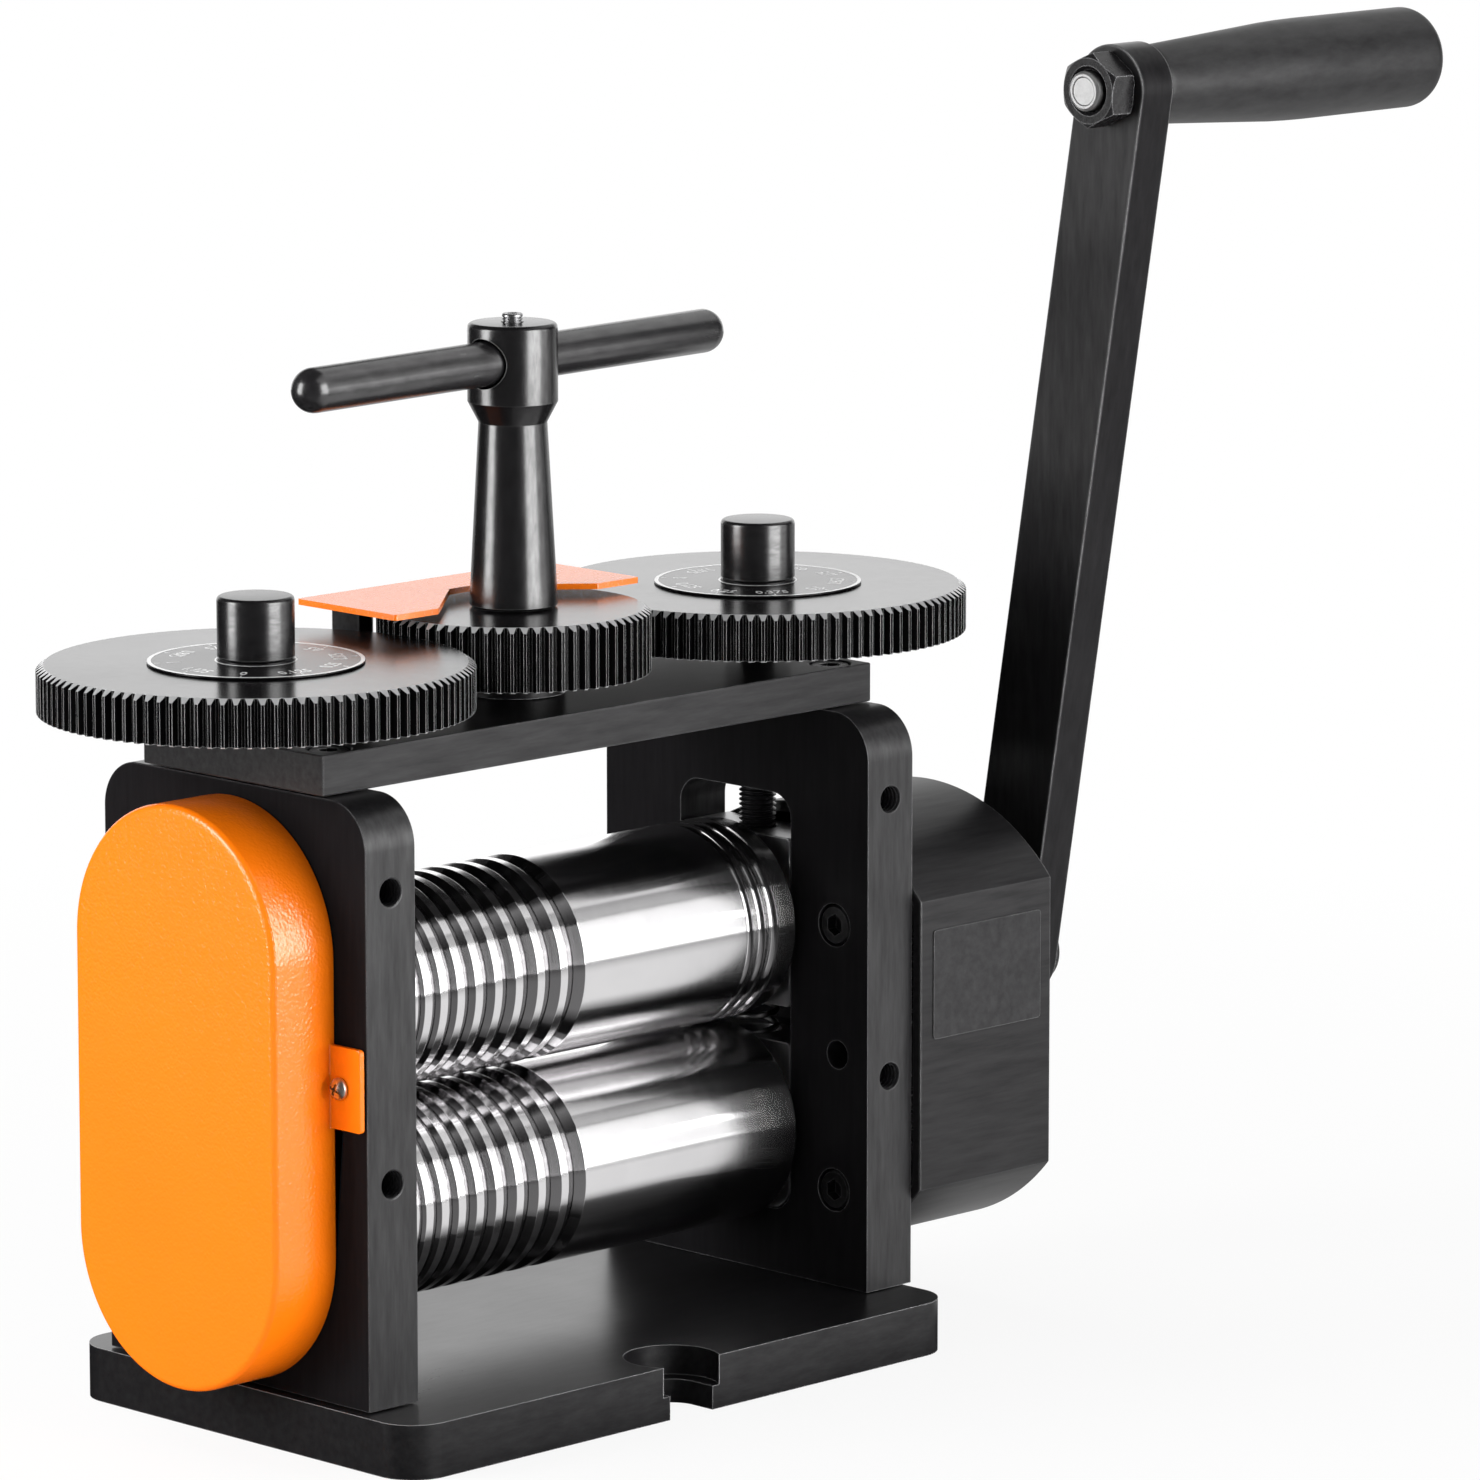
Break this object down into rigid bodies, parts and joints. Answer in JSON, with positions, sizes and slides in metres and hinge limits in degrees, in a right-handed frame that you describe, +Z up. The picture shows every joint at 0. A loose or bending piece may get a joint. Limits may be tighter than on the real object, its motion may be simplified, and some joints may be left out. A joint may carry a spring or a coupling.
{
  "type": "jewellers rolling mill",
  "caption": "Hand-cranked bench rolling mill with grooved and flat rolls, geared screw-down adjustment with dials, side gearbox and long crank.",
  "frame": {"origin": "underside of the base plate, midway between the two uprights, straight under the roll axes", "axes": "+X along the rolls towards the crank, +Y from the front where metal goes in to the back, +Z up"},
  "size_m": [0.4106, 0.1332, 0.3317],
  "materials": {
    "black_frame": "satin black",
    "blackened_steel": "blackened, lightly oiled",
    "roll_steel": "ground and polished",
    "bare_steel": "machined",
    "bronze": "machined",
    "orange_cover": "textured powder coat",
    "black_grip": "satin"
  },
  "bodies": {
    "frame": {"base_plate": "black_frame", "left_upright": "black_frame", "right_upright": "black_frame", "bridge_plate": "black_frame", "gearbox_housing": "black_frame", "rating_plate": "black_frame", "guard_post_left": "black_frame", "guard_post_right": "black_frame", "gear_guard": "orange_cover", "gear_cover": "orange_cover", "cover_screw_front": "bare_steel", "cover_screw_rear": "bare_steel", "gearbox_screw_1": "blackened_steel", "gearbox_screw_2": "blackened_steel", "gearbox_screw_3": "blackened_steel", "centre_bush": "blackened_steel", "crank_bush": "bronze", "lower_block_left": "bare_steel", "lower_block_right": "bare_steel", "lower_bush_left": "bronze", "lower_bush_right": "bronze", "lifting_spring_left": "bare_steel", "lifting_spring_right": "bare_steel", "base_screw_left_front": "black_frame", "base_screw_left_rear": "black_frame", "base_screw_right_front": "black_frame", "base_screw_right_rear": "black_frame", "bridge_screw_left_front": "black_frame", "bridge_screw_left_rear": "black_frame", "bridge_screw_right_front": "black_frame", "bridge_screw_right_rear": "black_frame"},
    "lower_roll": {"lower_roll": "roll_steel", "lower_coupling_gear": "blackened_steel", "reduction_gear": "blackened_steel", "reduction_gear_nut": "bare_steel"},
    "crank": {"crank_shaft": "blackened_steel", "crank_arm": "black_frame", "crank_screw": "blackened_steel", "stud_nut": "blackened_steel", "grip_stud": "bare_steel"},
    "grip": {"crank_grip": "black_grip"},
    "carriage": {"upper_block_left": "bare_steel", "upper_block_right": "bare_steel", "upper_bush_left": "bronze", "upper_bush_right": "bronze"},
    "upper_roll": {"upper_roll": "roll_steel", "upper_coupling_gear": "blackened_steel"},
    "t_handle": {"t_stem": "blackened_steel", "t_bar": "blackened_steel", "t_set_screw": "blackened_steel", "centre_gear": "blackened_steel", "centre_nut": "blackened_steel"},
    "left_screw": {"adjusting_screw_left": "blackened_steel", "side_gear_left": "blackened_steel", "dial_left": "blackened_steel", "knob_left": "blackened_steel"},
    "right_screw": {"adjusting_screw_right": "blackened_steel", "side_gear_right": "blackened_steel", "dial_right": "blackened_steel", "knob_right": "blackened_steel"}
  },
  "joints": [
    {"name": "lower_roll_spin", "type": "hinge", "parent": "frame", "child": "lower_roll", "pos_m": [0, 0, 0.0529], "axis": [1, 0, 0], "continuous": true},
    {"name": "crank_spin", "type": "hinge", "parent": "frame", "child": "crank", "pos_m": [0, -0.02216, 0.08769], "axis": [1, 0, 0], "continuous": true},
    {"name": "grip_spin", "type": "hinge", "parent": "crank", "child": "grip", "pos_m": [0, -0.06066, 0.3185], "axis": [1, 0, 0], "continuous": true},
    {"name": "t_handle_turn", "type": "hinge", "parent": "frame", "child": "t_handle", "pos_m": [0, 0, 0], "axis": [0, 0, 1], "range_deg": [-677, 1805.4]},
    {"name": "carriage_lift", "type": "slide", "parent": "frame", "child": "carriage", "axis": [0, 0, 1], "range_m": [-0.00151, 0.00401], "deforming": ["lifting_spring_left", "lifting_spring_right"]},
    {"name": "upper_roll_spin", "type": "hinge", "parent": "carriage", "child": "upper_roll", "pos_m": [0, 0, 0.10645], "axis": [1, 0, 0], "continuous": true},
    {"name": "left_screw_turn", "type": "hinge", "parent": "carriage", "child": "left_screw", "pos_m": [-0.08645, 0, 0], "axis": [0, 0, 1], "range_deg": [-1153, 433]},
    {"name": "right_screw_turn", "type": "hinge", "parent": "carriage", "child": "right_screw", "pos_m": [0.08645, 0, 0], "axis": [0, 0, 1], "range_deg": [-1153, 433]}
  ],
  "couplings": [
    {"joint": "crank_spin", "follows": "lower_roll_spin", "ratio": -2.2353},
    {"joint": "upper_roll_spin", "follows": "lower_roll_spin", "ratio": -1},
    {"joint": "carriage_lift", "follows": "t_handle_turn", "m_per_rad": 0.00012694},
    {"joint": "left_screw_turn", "follows": "t_handle_turn", "ratio": -0.63809},
    {"joint": "right_screw_turn", "follows": "t_handle_turn", "ratio": -0.63809}
  ]
}
